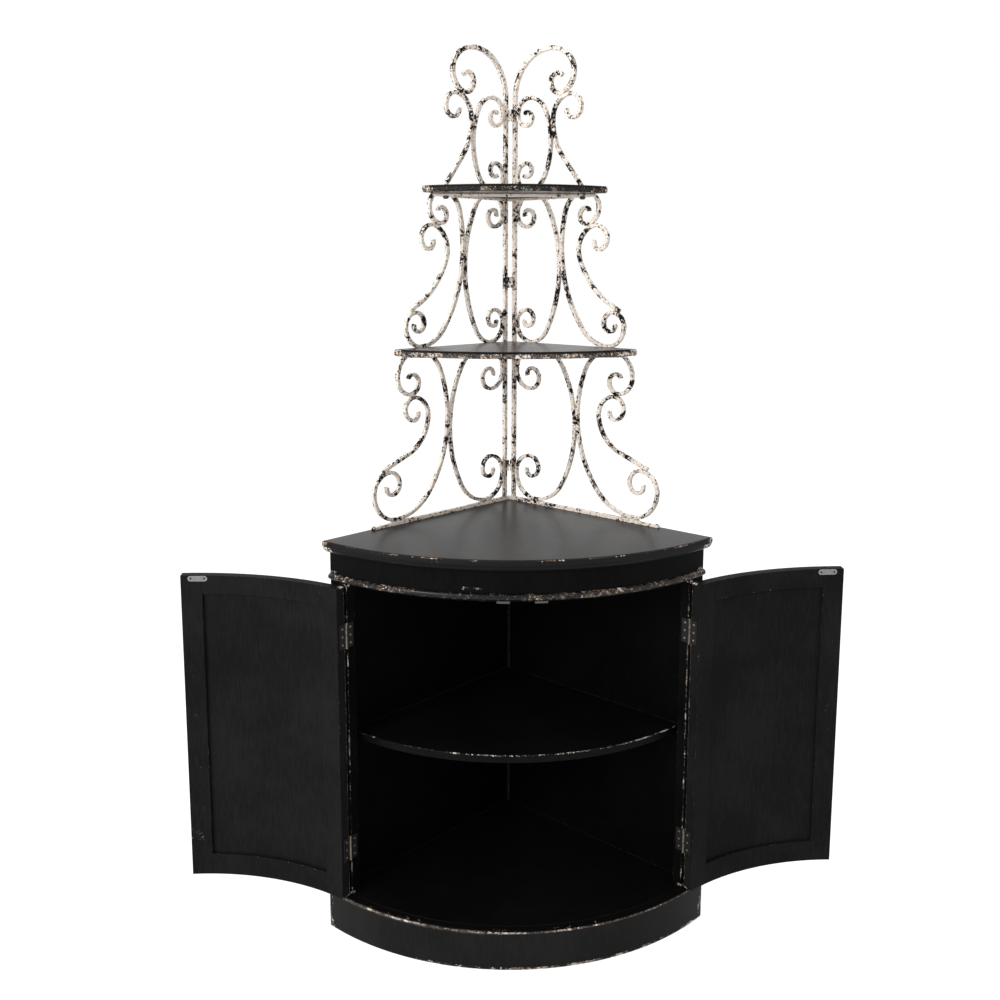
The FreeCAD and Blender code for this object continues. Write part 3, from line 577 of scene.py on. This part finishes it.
# Each metal: its material's name, its lighter and darker colour and its least roughness
METALS = {
    "bolt": ("bolt_steel", rgb(0.10, 0.09, 0.08), rgb(0.035, 0.03, 0.026), 0.38),
    "screw": ("screw_steel", rgb(0.60, 0.57, 0.52), rgb(0.34, 0.31, 0.27), 0.34),
    "dark_screw": ("dark_screw_steel", rgb(0.045, 0.040, 0.036), rgb(0.015, 0.013, 0.012), 0.42),
    "pin": ("pin_brass", rgb(0.66, 0.53, 0.34), rgb(0.40, 0.31, 0.18), 0.28),
    "pole": ("pole_steel", rgb(0.125, 0.120, 0.118), rgb(0.070, 0.067, 0.065), 0.34),
}

# Each part of the rack's iron: its material's name and how much of the flaking it has
IRONS = {"iron": ("iron_paint", 1.0), "rail_iron": ("rail_paint", 0.50), "frame_iron": ("frame_paint", 0.14)}


def make_materials():
    made = {finish: painted_wood(finish + "_paint", **look) for finish, look in PAINTS.items()}
    for board, (thin, worn) in DISPLAY_SHELVES.items():
        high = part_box(board + "_display_shelf")[1]
        # Painted shade: each board's edges are darkened to black by the way they face, so that its top and
        # underside keep the lighter brown tone
        made[board + "_display"] = painted_wood(
            board + "_display_paint", display_wear(high.z, high.x, worn), tones=DISPLAY_TONES,
            rough=(0.22, 0.34), gloss=0.10, brush=BRUSHED_ACROSS, painted_shade=upright_share,
            rub_and_highlight=display_rubbed(high.z, thin), chip_size=620.0)
    for finish, (name, worn) in IRONS.items():
        made[finish] = make_iron(name, worn)
    for finish, look in METALS.items():
        made[finish] = make_plain_metal(*look)
    made["leaf"] = make_leaf()
    made["strike"] = make_strike()
    made["plastic"] = make_plastic()
    return made


# The finish of each piece; the rest of the rack is plain iron and the rest of a door plain door paint
FINISHES = {
    "tabletop": "table", "bead_moulding": "bead", "ovolo_moulding": "ovolo", "plinth": "plinth",
    "interior_shelf": "shelf", "bottom_board": "shelf", "left_wall_panel": "inside",
    "right_wall_panel": "inside", "shelf_cleats": "inside", "magnetic_catches": "plastic",
    "jamb_leaves": "leaf", "hinge_pins": "pin", "joining_bolts": "bolt",
    "middle_display_shelf": "middle_display", "top_display_shelf": "top_display",
    "left_post": "body", "right_post": "body", "apron": "body", "top_shelf_frame": "frame_iron",
    "left_base_rail": "rail_iron", "right_base_rail": "rail_iron",
}
DOOR_FINISHES = {"panel": "panel", "leaves": "leaf", "strike_plate": "strike", "knob": "knob"}


def finish_of(name):
    if name in FINISHES:
        return FINISHES[name]
    if "_door_" in name:
        return DOOR_FINISHES.get(name.split("_door_")[1], "door")
    return "iron"


# Softened edges of each finish: width in millimetres and segments
SOFTENING = {
    "iron": (1.1, 2), "rail_iron": (1.1, 2), "frame_iron": (1.1, 2),
    "body": (1.0, 2), "inside": (0.8, 1), "shelf": (1.2, 2), "door": (0.9, 2), "plinth": (1.6, 2),
    "middle_display": (0.6, 1), "top_display": (0.6, 1), "knob": (0.6, 2),
    "leaf": (0.25, 1), "strike": (0.3, 2), "pin": (0.35, 2), "bolt": (0.3, 1), "plastic": (0.8, 2),
}
SOFTEN_ANGLE = math.radians(50.0)
SMOOTH_ANGLE = math.radians(35.0)
DOUBLED_WITHIN = 0.005 * MM


def tidy_shading():
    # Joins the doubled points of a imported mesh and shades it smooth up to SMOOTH_ANGLE
    group = bpy.data.node_groups.new("tidy_shading", "GeometryNodeTree")
    for way in ("INPUT", "OUTPUT"):
        group.interface.new_socket("Geometry", in_out=way, socket_type="NodeSocketGeometry")
    g = Tree(group)
    mesh = g.make("NodeGroupInput", {})
    mesh = g.make("GeometryNodeMergeByDistance", {"Geometry": mesh, "Distance": DOUBLED_WITHIN})
    mesh = g.make("GeometryNodeRemoveAttribute", {"Geometry": mesh, "Name": "custom_normal"})
    mesh = g.make("GeometryNodeSetShadeSmooth", {"Geometry": mesh}, domain="FACE")
    angle = g.make("GeometryNodeInputMeshEdgeAngle", {}, "Unsigned Angle")
    sharp = g.make("FunctionNodeCompare", {0: angle, 1: SMOOTH_ANGLE}, operation="GREATER_THAN")
    mesh = g.make("GeometryNodeSetShadeSmooth", {"Geometry": mesh, "Selection": sharp, "Shade Smooth": False},
                  domain="EDGE")
    g.feed(group.nodes.new("NodeGroupOutput").inputs[0], mesh)
    return group


def soften(piece, width, segments):
    bevel = piece.modifiers.new("soft_edges", "BEVEL")
    bevel.width = width * MM
    bevel.segments = segments
    bevel.limit_method = "ANGLE"
    bevel.angle_limit = SOFTEN_ANGLE
    bevel.use_clamp_overlap = True
    weigh = piece.modifiers.new("flat_faces", "WEIGHTED_NORMAL")
    weigh.keep_sharp = True


def dress_nodes(materials):
    shading = tidy_shading()
    for name, piece in nodes.items():
        finish = finish_of(name)
        for slot in piece.material_slots:
            slot.material = materials[finish]
        piece.modifiers.new("tidy", "NODES").node_group = shading
        if finish in SOFTENING:
            soften(piece, *SOFTENING[finish])


# Screw heads, as shares of their radius and height; the slot parts a head into two halves
HEAD_RINGS = ((1.0, 0.25), (1.0, 0.45), (0.86, 0.80), (0.62, 1.0))
HEAD_STEPS = 8
HEAD_SHARE = 0.97
SLOT_WIDTH = 0.9 * MM
DISC_SIDES = 16
DISC_SHARE = 0.3


def ring_of(bm, points):
    return [bm.verts.new(p) for p in points]


def bridge(bm, low, high, closed=True):
    # A band of faces between two rings of as many points
    count = len(low)
    for i in range(count if closed else count - 1):
        j = (i + 1) % count
        bm.faces.new((low[i], low[j], high[j], high[i]))


def half_head(bm, radius, height, side):
    # One side of a slotted dome: its round flank, its bevelled shoulder and its flat top
    rings = []
    for share, level in HEAD_RINGS:
        r = radius * share
        start = math.asin(SLOT_WIDTH / 2.0 / r)
        angles = [start + (math.pi - 2.0 * start) * i / HEAD_STEPS for i in range(HEAD_STEPS + 1)]
        rings.append(ring_of(bm, [(r * math.cos(a), side * r * math.sin(a), height * level) for a in angles]))
    for low, high in zip(rings, rings[1:]):
        bridge(bm, low, high, closed=False)
        bm.faces.new((low[-1], low[0], high[0], high[-1]))
    bm.faces.new(rings[-1])


def screw_head(bm, radius, height):
    # A disc that shows at the bottom of the slot, and the two halves that stand on it
    angles = [2 * math.pi * i / DISC_SIDES for i in range(DISC_SIDES)]
    around = [(radius * math.cos(a), radius * math.sin(a)) for a in angles]
    low = ring_of(bm, [(x, y, 0.0) for x, y in around])
    high = ring_of(bm, [(x, y, height * DISC_SHARE) for x, y in around])
    bridge(bm, low, high)
    bm.faces.new(low[::-1])
    bm.faces.new(high)
    for side in (1, -1):
        half_head(bm, radius * HEAD_SHARE, height, side)


def screw_heads(seats, radius, height):
    # Heads at (place, direction they face, turn of the slot), gathered in one mesh
    whole = bmesh.new()
    for place, facing, turn in seats:
        head = bmesh.new()
        screw_head(head, radius, height)
        aim = facing.to_track_quat("Z", "Y").to_matrix().to_4x4()
        head.transform(Matrix.Translation(place) @ aim @ Matrix.Rotation(turn, 4, "Z"))
        part = bpy.data.meshes.new("head")
        head.to_mesh(part)
        head.free()
        whole.from_mesh(part)
        bpy.data.meshes.remove(part)
    return whole


def round_corner(radius, angle, z):
    # A place by its distance and angle from the room corner; angle 0 is straight ahead
    return Vector((radius * math.sin(angle), -radius * math.cos(angle), z))


# The hinge's own coordinates have x toward the right-hand post and y inward
HINGE_TURN = Matrix.Rotation(HINGE_ANGLE, 3, "Z")
OPEN_TURN = Matrix.Rotation(OPEN_ANGLE, 3, "Z")
LEAF_SEAT = 0.5 * MM
LEAF_MIDDLE = 11.2 * MM
LEAF_HEIGHT = 50.0 * MM
LEAF_SCREW_PITCH = 16.5 * MM
HINGE_INSET = 78.0 * MM
# Angles about the room corner, from millimetres along a circle
CATCH_CIRCLE = 516.0
CATCH_ANGLE = 37.0 / CATCH_CIRCLE
CATCH_HALF = 12.6 / CATCH_CIRCLE
STRIKE_HOLE = 14.0 / CATCH_CIRCLE
# How the strike plates, the base rails' feet and the frame's bolts lie
STRIKE_DROP = 6.5 * MM
STRIKE_FACE = 514.8 * MM
STRIKE_SUNK = 0.5 * MM
RAIL_MIDDLE = 11.0 * MM
RAIL_SCREW_FROM_END = 9.0 * MM
RAIL_FOOT_TOP = 5.1 * MM
BOLT_SHARE = 0.835
BOLT_INSET = 4.0 * MM
BOLT_SUNK = 0.3 * MM


def at_hinge(x, y, z):
    # From the hinge's own coordinates to the cabinet's
    return PIN + HINGE_TURN @ Vector((x, y, 0.0)) + Vector((0.0, 0.0, z))


def opened(point):
    # Where a point of the closed door is when the door stands open
    return PIN + OPEN_TURN @ (point - PIN)


def mirrored(seats):
    flip = Vector((-1.0, 1.0, 1.0))
    return [(place * flip, facing * flip, -turn) for place, facing, turn in seats]


def leaf_seats():
    # Three screws in each leaf, on the post and on the open door
    jamb, door = [], []
    toward_post = HINGE_TURN @ Vector((1.0, 0.0, 0.0))
    for low in (DOOR_BOTTOM + HINGE_INSET, DOOR_TOP - HINGE_INSET - LEAF_HEIGHT):
        for k in (-1, 0, 1):
            z = low + LEAF_HEIGHT / 2.0 + k * LEAF_SCREW_PITCH
            slant = 0.7 + 1.1 * k
            jamb.append((at_hinge(LEAF_SEAT, LEAF_MIDDLE, z), -toward_post, slant))
            door.append((opened(at_hinge(-LEAF_SEAT, LEAF_MIDDLE, z)), OPEN_TURN @ toward_post, slant))
    return jamb, door


def strike_seats():
    # Two screws in the open door's strike plate
    seats = []
    for sign in (-1, 1):
        angle = CATCH_ANGLE + sign * STRIKE_HOLE
        place = round_corner(STRIKE_FACE, angle, DOOR_TOP - STRIKE_DROP)
        inward = Vector((-math.sin(angle), math.cos(angle), 0.0))
        seats.append((opened(place - inward * STRIKE_SUNK), OPEN_TURN @ inward, 0.5 + sign))
    return seats


def rail_seats():
    # One screw through the flat foot of the base rail, which runs along the wall at RAIL_MIDDLE
    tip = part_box("right_base_rail")[0]
    along = -tip.y / math.sqrt(0.5) - RAIL_MIDDLE - RAIL_SCREW_FROM_END
    x = (along - RAIL_MIDDLE) * math.sqrt(0.5)
    y = -(along + RAIL_MIDDLE) * math.sqrt(0.5)
    return [(Vector((x, y, TABLE_TOP + RAIL_FOOT_TOP)), Vector((0.0, 0.0, 1.0)), 0.9)]


def frame_seats():
    # One bolt under the front bar of the top shelf's frame
    low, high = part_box("top_shelf_frame")
    place = Vector((high.x * BOLT_SHARE, low.y + BOLT_INSET, low.z + BOLT_SUNK))
    return [(place, Vector((0.0, 0.0, -1.0)), 0.4)]


POLE_FACE = 514.62 * MM
POLE_DEPTH = 0.5 * MM
POLE_GROOVE = 0.6 * MM
POLE_BEVEL = 0.25 * MM
POLE_STEPS = 6


def pole_section(low, high):
    # Upright section of a pole: radius and level
    back, shoulder = POLE_FACE - POLE_DEPTH, POLE_FACE - POLE_BEVEL
    return ((back, low), (shoulder, low), (POLE_FACE, low + POLE_BEVEL), (POLE_FACE, high - POLE_BEVEL),
            (shoulder, high), (back, high))


def pole_plates():
    # Steel face of each magnetic catch: a thin curved plate with a groove between its two poles
    bm = bmesh.new()
    high = APRON_BOTTOM - 0.8 * MM
    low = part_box("magnetic_catches")[0].z + 0.4 * MM
    middle = (low + high) / 2.0
    turns = [CATCH_ANGLE - CATCH_HALF + 2 * CATCH_HALF * i / POLE_STEPS for i in range(POLE_STEPS + 1)]
    for side in (-1, 1):
        for z0, z1 in ((low, middle - POLE_GROOVE), (middle + POLE_GROOVE, high)):
            section = pole_section(z0, z1)
            rings = [ring_of(bm, [round_corner(r, side * a, z) for r, z in section]) for a in turns]
            for first, second in zip(rings, rings[1:]):
                bridge(bm, first, second)
            bm.faces.new(rings[0])
            bm.faces.new(rings[-1])
    return bm


# Radius and height of each kind of head
LEAF_HEAD = (2.2 * MM, 0.38 * MM)
STRIKE_HEAD = (3.0 * MM, 0.58 * MM)
RAIL_HEAD = (3.0 * MM, 1.8 * MM)
BOLT_HEAD = (6.5 * MM, 5.5 * MM)


def add_fastener(name, body, bm, finish, materials):
    bmesh.ops.recalc_face_normals(bm, faces=bm.faces)
    mesh = bpy.data.meshes.new(name)
    bm.to_mesh(mesh)
    bm.free()
    mesh.materials.append(materials[finish])
    piece = bpy.data.objects.new(name, mesh)
    scene.collection.objects.link(piece)
    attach(piece, body)


def make_fasteners(materials):
    # Screws, bolts and catch plates, which the frame leaves out
    jamb, door = leaf_seats()
    strike = strike_seats()
    rail = rail_seats()
    bolt = frame_seats()
    for name, body, seats, head, finish in (
            ("jamb_leaf_screws", "carcass", jamb + mirrored(jamb), LEAF_HEAD, "screw"),
            ("right_leaf_screws", "right_door", door, LEAF_HEAD, "screw"),
            ("left_leaf_screws", "left_door", mirrored(door), LEAF_HEAD, "screw"),
            ("right_strike_screws", "right_door", strike, STRIKE_HEAD, "dark_screw"),
            ("left_strike_screws", "left_door", mirrored(strike), STRIKE_HEAD, "dark_screw"),
            ("rail_screws", "carcass", rail + mirrored(rail), RAIL_HEAD, "dark_screw"),
            ("frame_screws", "carcass", bolt + mirrored(bolt), BOLT_HEAD, "bolt")):
        add_fastener(name, body, screw_heads(seats, *head), finish, materials)
    add_fastener("catch_pole_plates", "carcass", pole_plates(), "pole", materials)


# Floor, background and light
FLOOR_SIZE = 60.0
FLOOR_ROUGH = 0.7
FLOOR_GLOW = 0.80
FLOOR_SHADE = rgb(0.42, 0.42, 0.42)
PAPER_TONES = (rgb(0.86, 0.86, 0.86), rgb(0.88, 0.88, 0.88))
SKY = rgb(0.96, 0.97, 1.0)
SKY_LEFT = 0.96
SKY_RIGHT = 0.34
WHITE = rgb(1.0, 1.0, 1.0)

# Area lamps: place, what they aim at, width and height, and power
LAMPS = {
    "key": ((-3.4, -3.6, 2.5), (0.0, -0.3, 0.9), (1.8, 1.8), 125.0),
    "fill": ((2.6, -2.8, 2.2), (0.0, -0.3, 0.8), (2.0, 2.0), 13.0),
    "top": ((0.0, 0.3, 3.6), (0.0, -0.3, 0.8), (2.6, 1.4), 45.0),
}


def seen_directly(g):
    # 1 for rays from the camera and for what gloss and glass show of the background
    path = g.tree.nodes.new("ShaderNodeLightPath").outputs
    return g.most(path["Is Camera Ray"], path["Is Glossy Ray"], path["Is Transmission Ray"])


def make_stage():
    # White paper; an even glow lies under its soft shadow, so that it is as white as the background
    data = bpy.data.meshes.new("floor")
    half = FLOOR_SIZE / 2.0
    corners = [(-half, -half, 0), (half, -half, 0), (half, half, 0), (-half, half, 0)]
    data.from_pydata(corners, [], [(0, 1, 2, 3)])
    floor = bpy.data.objects.new("floor", data)
    scene.collection.objects.link(floor)
    g = Graph("floor_paper")
    g.finish(g.blend(g.noise(2.0, detail=2.0), *PAPER_TONES), FLOOR_ROUGH)
    glow = g.make("ShaderNodeEmission", {"Color": WHITE, "Strength": FLOOR_GLOW})
    paper = g.make("ShaderNodeBsdfDiffuse", {"Color": FLOOR_SHADE})
    shown = g.make("ShaderNodeAddShader", {0: glow, 1: paper})
    mix = g.make("ShaderNodeMixShader", {"Fac": seen_directly(g), 1: g.shader.outputs[0], 2: shown})
    g.feed(g.tree.nodes["Material Output"].inputs["Surface"], mix)
    data.materials.append(g.material)


def make_world():
    # A white background that lights the cabinet more from the left than from the right
    world = bpy.data.worlds.new("studio")
    scene.world = world
    world.use_nodes = True
    g = Tree(world.node_tree)
    around = g.make("ShaderNodeTexCoord", {}, "Generated")
    rightward = g.make("ShaderNodeSeparateXYZ", {0: around}, "X")
    strength = g.make("ShaderNodeMapRange", {"Value": rightward, "From Min": -1.0, "To Min": SKY_LEFT,
                                             "To Max": SKY_RIGHT}, "Result")
    lit = g.tree.nodes["Background"]
    g.feed(lit.inputs["Color"], SKY)
    g.feed(lit.inputs["Strength"], strength)
    shown = g.make("ShaderNodeBackground", {"Color": WHITE, "Strength": 1.0})
    mix = g.make("ShaderNodeMixShader", {"Fac": seen_directly(g), 1: lit.outputs[0], 2: shown})
    g.feed(g.tree.nodes["World Output"].inputs["Surface"], mix)


def make_lights():
    for name, (place, target, size, power) in LAMPS.items():
        data = bpy.data.lights.new(name, "AREA")
        data.shape = "RECTANGLE"
        data.size, data.size_y = size
        data.energy = power
        lamp = bpy.data.objects.new(name, data)
        scene.collection.objects.link(lamp)
        lamp.location = place
        lamp.rotation_euler = (Vector(target) - Vector(place)).to_track_quat("-Z", "Y").to_euler()


make_camera()
materials = make_materials()
dress_nodes(materials)
make_fasteners(materials)
make_stage()
make_world()
make_lights()

scene.view_settings.view_transform = "Standard"
